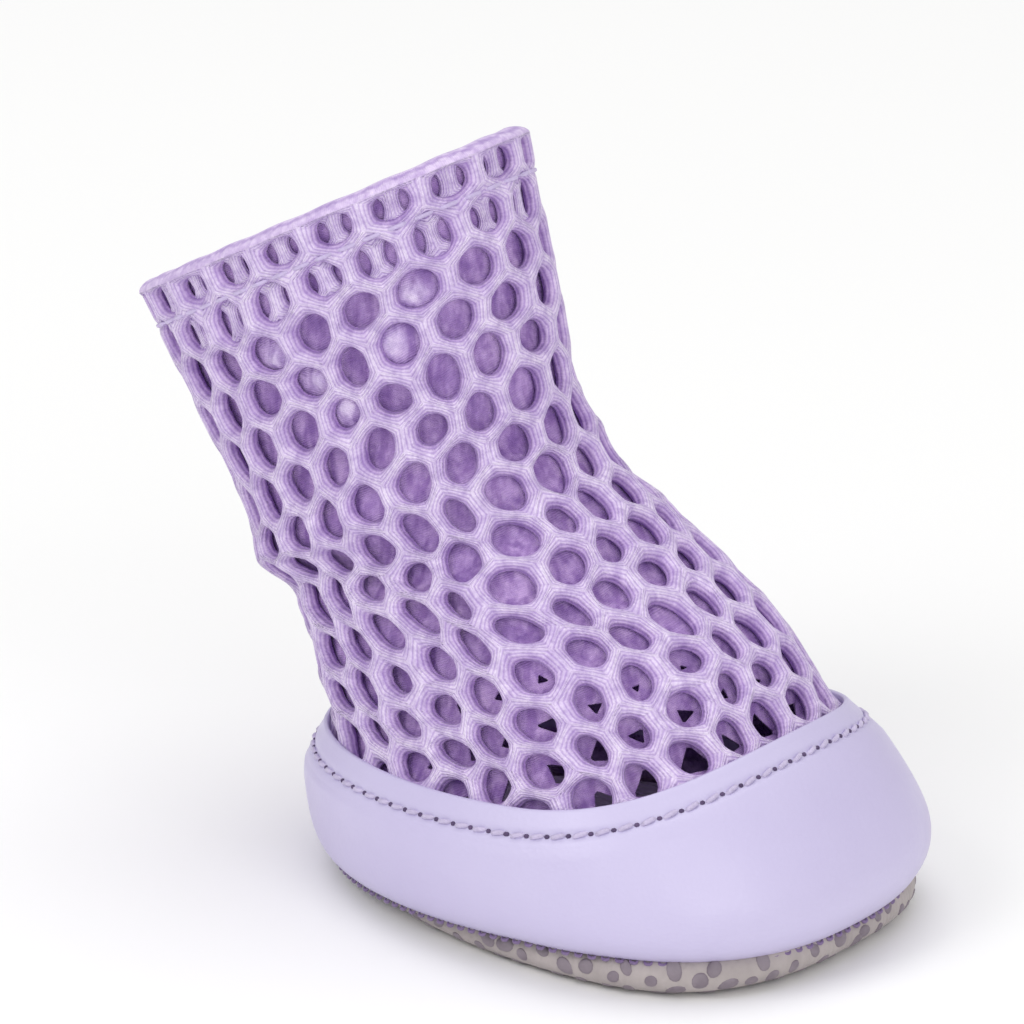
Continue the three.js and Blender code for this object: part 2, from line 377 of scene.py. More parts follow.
def section_rings(angle):
    """The points of every section at each angle."""
    upright = np.array(SECTIONS, float).T[:, :, None]
    columns = dict(zip(SECTION_COLUMNS, upright))
    front = columns["front"] * UPPER_HALF_LENGTH
    back = columns["back"] * UPPER_HALF_LENGTH
    wide = columns["wide"] * UPPER_HALF_LENGTH
    half_width = columns["width"] * UPPER_HALF_WIDTH
    x, y = egg_points(angle[None, :], front, back, wide, half_width, columns["toe"])
    along = (x - back) / (front - back)
    z = (columns["back_z"] + (columns["front_z"] - columns["back_z"]) * along) * BOOT_HEIGHT
    return np.stack([x, y, z], axis=-1)


def last_points(angle, level):
    """The smooth last through the sections."""
    rings = section_rings(angle)
    pick = np.arange(len(angle))
    below = np.clip(np.floor(level).astype(int), 0, COLLAR - 1)
    p1 = rings[below, pick]
    p2 = rings[below + 1, pick]
    p0 = np.where(below[:, None] > 0, rings[np.maximum(below - 1, 0), pick], 2 * p1 - p2)
    p3 = np.where(below[:, None] + 2 <= COLLAR, rings[np.minimum(below + 2, COLLAR), pick], 2 * p2 - p1)
    t = (level - below)[:, None]
    linear = p2 - p0
    square = 2 * p0 - 5 * p1 + 4 * p2 - p3
    cube = 3 * (p1 - p2) + p3 - p0
    return p1 + 0.5 * (linear * t + square * t**2 + cube * t**3)


def last_normals(angle, level):
    low = np.maximum(level - NORMAL_STEP, 0)
    high = np.minimum(level + NORMAL_STEP, COLLAR)
    around = last_points(angle + NORMAL_STEP, level) - last_points(angle - NORMAL_STEP, level)
    rise = last_points(angle, high) - last_points(angle, low)
    return unit(np.cross(around, rise))


def crease_heights(angle, level):
    """How far the creases lift the cloth off the last."""
    height = np.zeros_like(angle)
    for crease_level, crease_angle, lift, level_reach, angle_reach in CREASES:
        turned = angle - math.radians(crease_angle)
        across = np.arctan2(np.sin(turned), np.cos(turned)) / math.radians(angle_reach)
        up = (level - crease_level) / level_reach
        height += lift * np.exp(-(across**2) - up**2)
    return height


def cloth_points(angle, level, height):
    """Points a height off the creased last. Level and height may be single numbers."""
    parts = np.broadcast_arrays(angle, level, height)
    shape = parts[0].shape
    angle, level, height = (np.ravel(part).astype(float) for part in parts)
    lift = height + crease_heights(angle, level)
    points = last_points(angle, level) + last_normals(angle, level) * lift[:, None]
    return points.reshape(shape + (3,))


def rand_top_level(angle):
    return RAND_TOP - RAND_SIDE_DIP * np.sin(angle) ** 2


# Making pieces


def make_piece(name, material, slot, points, faces, uvs=None, depth=None, merge=False):
    """A smooth mesh from points in millimetres. It rides on the boot; its slot is not used."""
    mesh = bpy.data.meshes.new(name)
    face_list = faces.tolist() if isinstance(faces, np.ndarray) else faces
    mesh.from_pydata((np.asarray(points).reshape(-1, 3) * MM).tolist(), [], face_list)
    if uvs is not None:
        layer = mesh.uv_layers.new(name="yarn")
        layer.data.foreach_set("uv", np.asarray(uvs, np.float32).ravel())
    # The depth attribute picks a colour in the yarn materials: painted shade, darker where it is deeper.
    if depth is not None:
        attribute = mesh.attributes.new("depth", "FLOAT", "POINT")
        attribute.data.foreach_set("value", np.full(len(mesh.vertices), depth, np.float32))
    if merge:
        work = bmesh.new()
        work.from_mesh(mesh)
        bmesh.ops.remove_doubles(work, verts=work.verts, dist=MERGE_DISTANCE * MM)
        work.to_mesh(mesh)
        work.free()
    mesh.shade_smooth()
    mesh.materials.append(material)
    piece = bpy.data.objects.new(name, mesh)
    bpy.context.scene.collection.objects.link(piece)
    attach(piece, "root")
    return piece


def grid_faces(rows, columns, close_rows=False):
    """Quads of a grid that is closed round. They face out if columns run anticlockwise and rows run up."""
    row = np.arange(rows if close_rows else rows - 1)
    row, column = (part.ravel() for part in np.meshgrid(row, np.arange(columns), indexing="ij"))
    below = row * columns
    above = (row + 1) % rows * columns
    beside = (column + 1) % columns
    return np.stack([below + column, below + beside, above + beside, above + column], axis=1)


def grid_uvs(rows, columns, width, height):
    """Corners of the same grid's quads in a flat layout, in millimetres."""
    row, column = (part.ravel() for part in np.meshgrid(np.arange(rows), np.arange(columns), indexing="ij"))
    corners = ((column, row), (column + 1, row), (column + 1, row + 1), (column, row + 1))
    flat = [np.stack([u * width / columns, v * height / rows], axis=1) for u, v in corners]
    return np.stack(flat, axis=1)


def ring_piece(name, material, slot, rings, close_rows=False, caps=False, uvs=None, depth=None):
    """A piece through rings of points: open, closed round through its inside, or capped at both ends."""
    rows = len(rings)
    columns = len(rings[0])
    faces = grid_faces(rows, columns, close_rows).tolist()
    if caps:
        faces.append(list(range(columns))[::-1])
        faces.append(list(range((rows - 1) * columns, rows * columns)))
    return make_piece(name, material, slot, np.array(rings), faces, uvs, depth)


# The pattern of the mesh, laid on the last in rows that run parallel to the collar


def shaft_axis():
    """The direction square to the collar."""
    front, back = last_points(np.array([0.0, math.pi]), np.full(2, float(COLLAR)))
    along = unit(front - back)
    return np.array([-along[2], 0, along[0]])


class MeshPattern:
    """Turns columns and rows of the mesh into angles and levels on the last."""

    def __init__(self):
        self.axis = shaft_axis()
        angles = np.linspace(-TABLE_TURN, TABLE_TURN, TABLE_ANGLES) * math.pi
        levels = np.linspace(TABLE_BOTTOM, COLLAR, TABLE_LEVELS)
        grid = np.meshgrid(angles, levels, indexing="ij")
        points = last_points(grid[0].ravel(), grid[1].ravel()).reshape(TABLE_ANGLES, TABLE_LEVELS, 3)
        along = points @ self.axis
        self.top = float(along[:, -1].mean())
        self.heights = np.arange(0.0, self.top + TABLE_HEIGHT_STEP, TABLE_HEIGHT_STEP)
        self.lay_columns(angles, np.stack([np.interp(self.heights, line, levels) for line in along]))
        self.find_seam()

    def lay_columns(self, angles, level_at):
        """Measures round the last at each height, and spaces the columns along it."""
        count = len(self.heights)
        curves = last_points(np.repeat(angles, count), level_at.ravel()).reshape(TABLE_ANGLES, count, 3)
        steps = np.linalg.norm(np.diff(curves, axis=0), axis=2)
        arc = np.vstack([np.zeros(count), np.cumsum(steps, axis=0)])
        arc -= arc[TABLE_ANGLES // 2]
        half = np.array([np.interp(math.pi, angles, line) for line in arc.T])
        closed = 2 * half / MESH_COLUMNS
        ankle = np.interp(ANKLE_HEIGHT, self.heights, closed)
        pitch = np.where(self.heights > ANKLE_HEIGHT, closed, ankle)
        self.half_columns = half / pitch
        end = TABLE_COLUMNS + TABLE_COLUMN_STEP / 5
        self.columns = np.arange(-TABLE_COLUMNS, end, TABLE_COLUMN_STEP)
        self.angle_at = np.stack([np.interp(self.columns, line, angles) for line in (arc / pitch).T])
        lines = zip(self.angle_at, level_at.T)
        self.level_at = np.stack([np.interp(places, angles, line) for places, line in lines])

    def find_seam(self):
        """The columns at which the whole cells of each row end."""
        rows = np.arange(LAST_ROW, 1)
        offset = HEX_SIDE * (rows % 2)
        whole = np.round(self.halfway(rows) - HEX_SIDE - offset) + HEX_SIDE + offset
        edge = np.where(self.closed(rows), MESH_COLUMNS / 2, whole)
        self.seam_rows = np.stack([rows - HEX_CORNER, rows + HEX_CORNER], axis=1).ravel()
        self.seam_columns = np.repeat(edge, 2)

    def closed(self, row):
        """Whether a row runs right round the shaft. Lower rows end at a seam down the middle of the back."""
        return self.height(row) > ANKLE_HEIGHT

    def seam(self, row):
        """The column at which whole cells end."""
        return np.interp(row, self.seam_rows, self.seam_columns)

    def sewn(self, column, row, closed):
        """The pattern pulled by hand, with its edges drawn to the seam."""
        over = np.where(closed & (np.abs(column) > MESH_COLUMNS / 2), np.sign(column), 0)
        column = column - over * MESH_COLUMNS
        moved_column, moved_row = wobble(column, row)
        edge = self.seam(row)
        halfway = self.halfway(moved_row)
        share = smooth_step(np.clip((np.abs(column) - edge) / SEAM_PULL + 1, 0, 1))
        drawn = np.sign(column) * (np.abs(column) + halfway - edge)
        moved_column = moved_column + (drawn - moved_column) * share
        moved_column = np.where(closed, moved_column, np.clip(moved_column, -halfway, halfway))
        return moved_column + 2 * over * halfway, moved_row

    def height(self, row):
        """How far along the shaft a row lies. Row 0 is the first under the collar, and rows count down."""
        return self.top - FIRST_ROW_DROP + row * MESH_ROW

    def halfway(self, row):
        """Columns from the front of the boot to the middle of its back."""
        return np.interp(self.height(row), self.heights, self.half_columns)

    def place(self, column, row):
        """The angle and level of points of the pattern."""
        i = np.clip(self.height(row) / TABLE_HEIGHT_STEP, 0, len(self.heights) - TABLE_END)
        j = np.clip((column - self.columns[0]) / TABLE_COLUMN_STEP, 0, len(self.columns) - TABLE_END)
        low_i = i.astype(int)
        low_j = j.astype(int)
        share_i = i - low_i
        share_j = j - low_j
        found = []
        for table in (self.angle_at, self.level_at):
            low = table[low_i, low_j] * (1 - share_j) + table[low_i, low_j + 1] * share_j
            high = table[low_i + 1, low_j] * (1 - share_j) + table[low_i + 1, low_j + 1] * share_j
            found.append(low * (1 - share_i) + high * share_i)
        return found


def waves(parts, turn, row):
    return sum(size * np.sin(count * turn + slope * row + start) for size, count, slope, start in parts)


def wobble(column, row):
    """Small shifts of the pattern, as in knitted cloth that was pulled by hand."""
    turn = FULL_TURN * column / MESH_COLUMNS
    across = waves(WAVES_ACROSS, turn, row)
    up = waves(WAVES_UP, turn, row)
    for middle_column, middle_row, column_reach, row_reach, pull in BUNCHES:
        beside = (column - middle_column) / column_reach
        above = (row - middle_row) / row_reach
        up = up - pull * above * np.exp(-(beside**2) - above**2)
    below_hem = np.clip(-row / WAVES_START, 0, 1)
    looser = np.interp(-row, LOOSE_ROWS, LOOSENESS)
    return column + across * below_hem * looser, row + up * below_hem


def cell_outline(shoulder=HEX_CORNER, peak=1 - HEX_CORNER):
    """Points round a cell, anticlockwise from outside, with the same steps on each side."""
    right = [(HEX_SIDE, -HEX_CORNER), (HEX_SIDE, shoulder)]
    left = [(-HEX_SIDE, shoulder), (-HEX_SIDE, -HEX_CORNER)]
    corners = right + [(0, peak)] + left + [(0, HEX_CORNER - 1)]
    points = []
    for start, end in zip(corners, corners[1:] + corners[:1]):
        for step in range(EDGE_STEPS):
            share = step / EDGE_STEPS
            points.append([a + (b - a) * share for a, b in zip(start, end)])
    return np.array(points)


PLAIN_CELL = cell_outline()
FOLDED_CELL = cell_outline(FOLD_ROW, FOLD_ROW)  # of the first row, cut straight where the cloth folds over


def pattern_cells(pattern, shift=0):
    """The column and row of each cell's middle, down to where the rand hides the mesh."""
    cells = []
    for row in range(0, LAST_ROW, -1):
        closed = pattern.closed(row)
        reach = TINY + (MESH_COLUMNS / 2 if closed else pattern.seam(row) - HEX_SIDE)
        for step in range(-CELL_REACH, CELL_REACH + 1):
            column = step + HEX_SIDE * (row % 2) + shift
            if abs(column) > reach or (closed and column <= TINY - MESH_COLUMNS / 2):
                continue
            angle, level = pattern.place(column, row)
            if level > rand_top_level(angle) - MESH_OVERLAP:
                cells.append((column, row))
    return np.array(cells, float)


def hole_outlines(cells, outline, hole, rng):
    """The edge of each cell's hole, a little different in each."""
    count = len(cells)
    direction = np.arctan2(outline[:, 1] / hole.height, outline[:, 0] / hole.width)
    loose = np.interp(-cells[:, 1], LOOSE_ROWS, LOOSENESS)
    spread = hole.spread * loose
    tilt = (rng.normal(0, HOLE_TILT, count) * loose)[:, None]
    growth = 1 + FOOT_HOLE_GROWTH * np.interp(-cells[:, 1], FOOT_ROWS, [0, 1])
    wide = (hole.width * growth * (1 + rng.normal(0, spread, count)))[:, None]
    high = (hole.height * growth * (1 + rng.normal(0, spread, count)))[:, None]
    x = wide * squared(np.cos(direction), hole.squareness)[None, :]
    y = high * squared(np.sin(direction), hole.squareness)[None, :]
    across = x * np.cos(tilt) - y * np.sin(tilt) * hole.width / hole.height
    up = y * np.cos(tilt) + x * np.sin(tilt) * hole.height / hole.width
    return across, up


def profile_columns(profile):
    """The columns of a profile, each shaped to run over the rings of every cell."""
    return np.array(profile).T[:, None, :, None]


def cell_places(cells, holes, share):
    """Columns and rows from each cell's middle of the points between its hole's edge and its outline."""
    folded = (cells[:, 1] == 0)[:, None, None]
    outlines = np.where(folded, FOLDED_CELL, PLAIN_CELL)[:, None]
    edges = np.stack(holes, axis=-1)[:, None]
    return np.moveaxis(edges + (outlines - edges) * share[..., None], -1, 0)


def cells_mesh(pattern, cells, holes, profile, layer, cut_row=None, woven=False):
    """Cells with holes as one sheet: points, faces, flat layout and depth at each point.

    The layer is how deep below the cloth's surface the sheet's outside and inside lie. The flat layout runs
    round each hole, or straight across the cloth where it is woven."""
    share, deep = profile_columns(profile)[:2]
    column, row = cell_places(cells, holes, share)
    column = column + cells[:, 0, None, None]
    row = row + cells[:, 1, None, None]
    if cut_row is not None:
        row = np.maximum(row, cut_row + HEM_CUT_WAVE * np.cos(FULL_TURN * column))
    layout = np.stack([column, row], axis=-1).reshape(-1, 2) * MESH_ROW
    column, row = pattern.sewn(column, row, pattern.closed(cells[:, 1])[:, None, None])
    angle, level = pattern.place(column, row)
    outside, inside = layer
    dent = HEM_STITCH_DENT * np.exp(-(((row - HEM_STITCH_ROW) / HEM_STITCH_REACH) ** 2))
    points = cloth_points(angle, level, -(outside + (inside - outside) * deep) - dent * (1 - deep))
    count, rings, around = column.shape
    starts = np.arange(count) * rings * around
    faces = (grid_faces(rings, around)[None] + starts[:, None, None]).reshape(-1, 4)
    if woven:
        uvs = layout[faces]
    else:
        uvs = np.tile(grid_uvs(rings - 1, around, YARN_ROUND, YARN_ACROSS), (count, 1, 1))
    # The depth at each point later sets painted shade in the yarn's colour.
    return points.reshape(-1, 3), faces, uvs, np.broadcast_to(deep, column.shape).ravel()


def mesh_upper(pattern, rng, material):
    """The open mesh, with one hole to each cell and rounded strands."""
    cells = pattern_cells(pattern)
    body_holes = hole_outlines(cells, PLAIN_CELL, BODY_HOLE, rng)
    hem_holes = hole_outlines(cells, FOLDED_CELL, HEM_HOLE, rng)
    hem = (cells[:, 1] == 0)[:, None]
    holes = [np.where(hem, a, b) for a, b in zip(hem_holes, body_holes)]
    sheet = cells_mesh(pattern, cells, holes, STRAND_PROFILE, (0, MESH_THICKNESS))
    piece = make_piece("mesh_upper_honeycomb", material, "mesh", *sheet, merge=True)
    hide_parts("mesh_upper")


def hem_fold(pattern, material):
    """The folded edge of the collar: a soft round strip from the outside of the mesh to its inside."""
    count = FOLD_COLUMN_STEPS * MESH_COLUMNS
    columns = np.linspace(0, MESH_COLUMNS, count, endpoint=False) - MESH_COLUMNS / 2
    angle, level = pattern.place(columns, FOLD_ROW)
    scallop = 1 + FOLD_SCALLOP * np.cos(FULL_TURN * columns) + FOLD_SWAY * np.sin(FOLD_SWAYS * angle)
    rings = []
    for turn in np.linspace(0, math.pi, FOLD_STEPS):
        depth = HEM_WALL * (1 - math.cos(turn)) / 2
        rise = (FOLD_START + FOLD_RISE * scallop) * math.sin(turn)
        rings.append(cloth_points(angle, level, -depth) + rise[:, None] * pattern.axis)
    uvs = grid_uvs(FOLD_STEPS - 1, count, YARN_ROUND * MESH_COLUMNS, FOLD_YARN)
    ring_piece("hem_fold", material, "mesh", rings, uvs=uvs, depth=FOLD_SHADE)


def hem_layer(name, layer, pattern, rng, material):
    """The layer that is folded in: it shows through the first rows of holes and inside the collar."""
    cells = pattern_cells(pattern, HEX_SIDE)
    cells = cells[cells[:, 1] >= HEM_LAST_ROW]
    holes = hole_outlines(cells, PLAIN_CELL, HEM_LAYER_HOLE, rng)
    points, faces, uvs, depth = cells_mesh(pattern, cells, holes, STRAND_PROFILE, layer, HEM_CUT_ROW)
    make_piece(name, material, "mesh", points, faces, uvs, depth * HEM_SHADE, merge=True)


def pale_bulges(cells, beside, above):
    """How far each point of the inner layer bulges out, from 0 to 1."""
    bulge = np.zeros_like(beside)
    for column, row, aside, up in PALE_SPOTS:
        away = np.hypot(cells[:, 0] - column, cells[:, 1] - row)[:, None, None]
        spot = np.exp(-(((beside - aside) / PALE_REACH[0]) ** 2) - ((above - up) / PALE_REACH[1]) ** 2)
        bulge = np.maximum(bulge, np.clip(1 - away, 0, 1) * spot)
    return bulge


def lining_holes(cells, rng):
    """Three-cornered openings, each turned and sized a little differently."""
    count = len(cells)
    third = FULL_TURN / 3
    direction = np.arctan2(PLAIN_CELL[:, 1], PLAIN_CELL[:, 0])[None, :]
    turn = rng.uniform(0, third, count)[:, None]
    size = LINING_HOLE * rng.uniform(*LINING_HOLE_SIZES, count)[:, None]
    reach = size / np.cos(np.mod(direction - turn, third) - third / 2)
    beside = LINING_SHIFT[0] + reach * np.cos(direction) / MESH_ROW
    above = LINING_SHIFT[1] + reach * np.sin(direction) / MESH_ROW
    return beside, above


def lining_openness(pattern, cells):
    """How far each cell of the inner layer is open: shut in the shaft and at the heel, open over the foot."""
    x, _, z = last_points(*pattern.place(cells[:, 0], cells[:, 1])).T
    low = np.clip((LINING_OPEN_BELOW[0] - z) / LINING_OPEN_BELOW[1], 0, 1)
    ahead = np.clip((x - LINING_OPEN_AHEAD[0]) / LINING_OPEN_AHEAD[1], 0, 1)
    openness = low * ahead
    return np.where(openness < LINING_LEAST_OPENING, 0, openness)[:, None]


def lining(pattern, rng, material):
    """The inner layer of the mesh, with openings through which the dark inside shows."""
    cells = pattern_cells(pattern)
    openness = lining_openness(pattern, cells)
    holes = [part * openness for part in lining_holes(cells, rng)]
    share, _, bulge, bowl = profile_columns(LINING_PROFILE)
    beside, above = cell_places(cells, holes, share)
    lift = pale_bulges(cells, beside, above) * bulge
    sag = LINING_SAG * (1 - lift) * (cells[:, 1] < -1)[:, None, None]
    outside = LINING_DEPTH - PALE_BULGE * lift + sag * bowl
    layer = (outside, outside + LINING_THICKNESS)
    points, faces, uvs, depth = cells_mesh(pattern, cells, holes, LINING_PROFILE, layer, woven=True)
    open_depth = (depth.reshape(len(cells), -1) * openness).ravel()
    # Painted shade: the layer is shaded all over and darker toward its openings. Where it bulges out the
    # shade is taken off, and it is painted pale as painted light.
    shade = (LINING_SHADE + (1 - LINING_SHADE) * open_depth) * (1 - lift.ravel())
    make_piece("mesh_inner_layer", material, "mesh", points, faces, uvs, shade, merge=True)


def foot_wall(material):
    """The lower wall of the upper, inside the rand, turned in over the sole."""
    angle = circle(FOOT_WALL_STEPS)
    top = rand_top_level(angle) - FOOT_WALL_DROP
    shares = np.linspace(0, 1, FOOT_WALL_RINGS)
    outside, inside = FOOT_WALL_FACES
    rings = [cloth_points(angle, share * top, -outside) for share in shares]
    rings += [cloth_points(angle, share * top, -inside) for share in shares[::-1]]
    uvs = grid_uvs(len(rings), FOOT_WALL_STEPS, *FOOT_WALL_YARN)
    ring_piece("foot_wall", material, "mesh", rings, close_rows=True, uvs=uvs, depth=LINING_SHADE)


# The rand and the lines of stitches


def rand_line(angle, drop):
    """Levels of a line on the rand that runs a distance below its top edge."""
    angle = np.atleast_1d(angle)
    top = rand_top_level(angle)[:, None]
    levels = top - np.linspace(0, 1, RAND_LINE_STEPS) * (top - RAND_START)
    flat = last_points(np.repeat(angle, RAND_LINE_STEPS), levels.ravel()).reshape(*levels.shape, 3)
    down = np.cumsum(np.linalg.norm(np.diff(flat, axis=1), axis=2), axis=1)
    down = np.hstack([np.zeros((len(angle), 1)), down])
    return np.array([np.interp(drop, *line) for line in zip(down, levels)])


def rand_height(drop):
    """How far the rand's outside stands off the last: it thins toward its top edge."""
    return GAP + RAND_WALL - RAND_SKIVE * math.exp(-((drop / RAND_SKIVE_REACH) ** 2))


def rand_hang(angle, level):
    """How far the lower part of the rand hangs below the last."""
    turned = np.arctan2(np.sin(angle), np.cos(angle))
    toe = np.clip(np.cos(RAND_TOE_NARROWING * turned), 0, 1)
    heel = np.clip(-np.cos(turned), 0, 1)
    share = np.clip((RAND_HANG_START - level) / (RAND_HANG_START - RAND_ROLL), 0, 1)
    return (RAND_HANG + RAND_TOE_HANG * toe + RAND_HEEL_HANG * heel) * smooth_step(share)


def rand_ring(angle, level, height, drop):
    """A ring of the rand's lower part."""
    points = cloth_points(angle, level, height)
    points[:, 2] -= rand_hang(angle, level) + drop
    return points


def leather_rand(material):
    """The leather strip: a cut edge on top, a dent along its stitches, and a lower edge that rolls under."""
    angle = circle(RAND_STEPS)
    top = rand_top_level(angle)
    rings = [cloth_points(angle, top, GAP), cloth_points(angle, top, rand_height(0) - RAND_CUT)]
    for drop in RAND_DROPS:
        dent = STITCH_DENT * math.exp(-(((drop - STITCH_DROP) / STITCH_DENT_REACH) ** 2))
        corner = RAND_CORNER * math.exp(-((drop / RAND_CORNER_REACH) ** 2))
        rings.append(cloth_points(angle, rand_line(angle, drop), rand_height(drop) - dent - corner))
    low = rand_line(angle, RAND_DROPS[-1])
    for share in np.linspace(0, 1, RAND_LOWER_STEPS)[1:]:
        rings.append(rand_ring(angle, low + (RAND_ROLL - low) * share, GAP + RAND_WALL, 0))
    for height, drop in RAND_LIP:
        rings.append(rand_ring(angle, RAND_ROLL, height, drop))
    rings.append(cloth_points(angle, RAND_ROLL, GAP))
    piece = ring_piece("leather_rand_strip", material, "rand_leather", rings[::-1], close_rows=True)
    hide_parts("leather_rand")


def tube(path, radius):
    """A closed tube along a short path with rounded ends: points and faces."""
    along = unit(np.gradient(path, axis=0))
    up = unit(np.cross(along, np.cross(path[-1] - path[0], LEAN)))[:, None]
    beside = np.cross(along, up[:, 0])[:, None]
    turn = circle(STITCH_SIDES)[None, :, None]
    ends = np.linspace(-STITCH_END, STITCH_END, len(path)) ** STITCH_ROUNDING
    size = radius * np.sqrt(np.clip(1 - ends, 0, 1))[:, None, None]
    rings = path[:, None] + size * (np.cos(turn) * up + np.sin(turn) * beside)
    return rings.reshape(-1, 3), grid_faces(len(path), STITCH_SIDES)[:, ::-1]


def joined(parts):
    """Several meshes as one: points and faces."""
    points = []
    faces = []
    start = 0
    for part_points, part_faces in parts:
        points.append(part_points)
        faces.append(part_faces + start)
        start += len(part_points)
    return np.vstack(points), np.vstack(faces)


def even_angles(levels_at, height, pitch):
    """Angles at even steps along a line on the cloth, the turn to each next one, and the true step."""
    angle = np.linspace(0, FULL_TURN, LINE_STEPS)
    line = cloth_points(angle, levels_at(angle), height)
    arc = np.concatenate([[0], np.cumsum(np.linalg.norm(np.diff(line, axis=0), axis=1))])
    count = round(arc[-1] / pitch)
    starts = np.interp(np.arange(count) / count * arc[-1], arc, angle)
    return starts, np.diff(np.append(starts, starts[0] + FULL_TURN)), arc[-1] / count


def no_drop(angle):
    return np.zeros_like(angle)


def line_of_stitches(name, material, slot, levels_at, height, stitch, drop_at=no_drop):
    """Stitches that come up out of the cloth, lie along it and go back in."""
    starts, turns, pitch = even_angles(levels_at, height, stitch.pitch)
    share = np.linspace(0, 1, STITCH_POINTS)
    rise = height - STITCH_SINK * stitch.radius * (2 * share - 1) ** 4
    parts = []
    for start, turn in zip(starts, turns):
        angle = start + turn * stitch.length / pitch * share
        path = cloth_points(angle, levels_at(angle) + stitch.slant * (share - 0.5), rise)
        path[:, 2] -= drop_at(angle)
        parts.append(tube(path, stitch.radius))
    make_piece(name, material, slot, *joined(parts))


def rand_stitch_line(angle):
    return rand_line(angle, STITCH_DROP)


def rand_stitches(thread):
    height = rand_height(STITCH_DROP) - STITCH_BED
    line_of_stitches("rand_stitches", thread, "rand_leather", rand_stitch_line, height, RAND_STITCH)


def needle_holes(material):
    """Dark tubes between the rand's stitches: the painted shade of the needle holes."""
    height = rand_height(STITCH_DROP) - NEEDLE_HOLE_BED
    starts, turns, pitch = even_angles(rand_stitch_line, height, RAND_STITCH.pitch)
    middles = starts - turns * (pitch - RAND_STITCH.length) / pitch / 2
    share = np.linspace(-0.5, 0.5, NEEDLE_HOLE_POINTS)
    parts = []
    for middle, turn in zip(middles, turns):
        angle = middle + share * turn * NEEDLE_HOLE_LENGTH / pitch
        path = cloth_points(angle, rand_stitch_line(angle), height)
        parts.append(tube(path, NEEDLE_HOLE_RADIUS))
    make_piece("needle_holes", material, "rand_leather", *joined(parts))


def hem_stitches(pattern, thread):
    """The line that holds the hem, between the first two rows of holes."""
    columns = np.linspace(-MESH_COLUMNS / 2, MESH_COLUMNS / 2, HEM_LINE_STEPS)
    angles, levels = pattern.place(columns, HEM_STITCH_ROW)

    def line(angle):
        return np.interp(np.mod(angle + math.pi, FULL_TURN) - math.pi, angles, levels)

    line_of_stitches("hem_stitches", thread, "mesh", line, -HEM_STITCH_BED, HEM_STITCH)


# The sole


def sole_top(x):
    return SOLE_TOP_HEEL + (SOLE_TOP_TOE - SOLE_TOP_HEEL) * (x - SOLE_BACK) / (SOLE_FRONT - SOLE_BACK)


def sole_spring(x):
    toe = np.clip((x - FLAT_FRONT) / (SOLE_FRONT - FLAT_FRONT), 0, None)
    heel = np.clip((FLAT_BACK - x) / (FLAT_BACK - SOLE_BACK), 0, None)
    return TOE_SPRING * toe**2 + HEEL_SPRING * heel**2


def sole_points(angle, inset, share):
    """Points of the outsole: drawn in from its outline, and a share of the way up its edge."""
    front = SOLE_FRONT - inset
    back = SOLE_BACK + inset
    x, y = egg_points(angle, front, back, SOLE_WIDE, SOLE_HALF_WIDTH - inset, SOLE_TOE)
    low = sole_spring(x) + DOT_HEIGHT
    z = low + (sole_top(x) - low) * share
    return np.stack([x, y, z], axis=-1)


def sole_under(middle, rings):
    """Inset and share of the underside's rings, from its middle out to the edge."""
    insets = np.linspace(SOLE_HALF_WIDTH - middle, SOLE_EDGE_INSET, rings)
    return [(inset, 0) for inset in insets[:-1]]


def sole_edge():
    """The edge's round profile, from the underside to the top: inset and share of each ring."""
    under, over = (np.linspace(0, math.pi / 2, rings) for rings in SOLE_EDGE_RINGS)
    profile = []
    for turn in under:
        profile.append((SOLE_EDGE_INSET * (1 - math.sin(turn)), SOLE_WIDEST_SHARE * (1 - math.cos(turn))))
    for turn in over[1:]:
        rise = SOLE_WIDEST_SHARE + (1 - SOLE_WIDEST_SHARE) * math.sin(turn)
        profile.append((SOLE_RIM_INSET * (1 - math.cos(turn)), rise))
    return profile


def outsole(material):
    angle = circle(SOLE_STEPS)
    under_rings, over_rings = SOLE_FACE_RINGS
    insets = np.linspace(SOLE_RIM_INSET, SOLE_HALF_WIDTH - SOLE_MIDDLE, over_rings)
    profile = sole_under(SOLE_MIDDLE, under_rings) + sole_edge() + [(inset, 1) for inset in insets[1:]]
    rings = [sole_points(angle, inset, share) for inset, share in profile]
    piece = ring_piece("outsole_pad", material, "sole_grip", rings, caps=True)
    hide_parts("outsole")


class SoleSkin:
    """A fine table of the sole's skin: the point, outward direction and flat place of each entry."""

    def __init__(self):
        angle = circle(SKIN_STEPS)
        under = sole_under(SKIN_MIDDLE, SKIN_RINGS)
        rings = np.array([sole_points(angle, inset, share) for inset, share in under + sole_edge()])
        middle = rings[len(under)]
        out = unit(middle[:, :2] - np.array([SOLE_WIDE, 0]))
        spread = np.cumsum(np.linalg.norm(np.diff(rings[len(under):], axis=0), axis=2), axis=0)
        flat = rings[:, :, :2].copy()
        flat[len(under) + 1:] = middle[None, :, :2] + spread[:, :, None] * out[None]
        around = np.roll(rings, -1, axis=1) - np.roll(rings, 1, axis=1)
        normals = unit(np.cross(around, np.gradient(rings, axis=0)))
        self.flat = flat[:-SKIN_RIM].reshape(-1, 2)
        self.points = rings[:-SKIN_RIM].reshape(-1, 3)
        self.normals = normals[:-SKIN_RIM].reshape(-1, 3)
        self.tree = kdtree.KDTree(len(self.points))
        for i, point in enumerate(self.points):
            self.tree.insert(point, i)
        self.tree.balance()

    def settled(self, points, lift):
        """Points drawn onto the skin, then lifted off it."""
        near = [self.tree.find(point)[1] for point in points]
        away = np.sum((points - self.points[near]) * self.normals[near], axis=1)
        return points + self.normals[near] * (lift - away)[:, None]


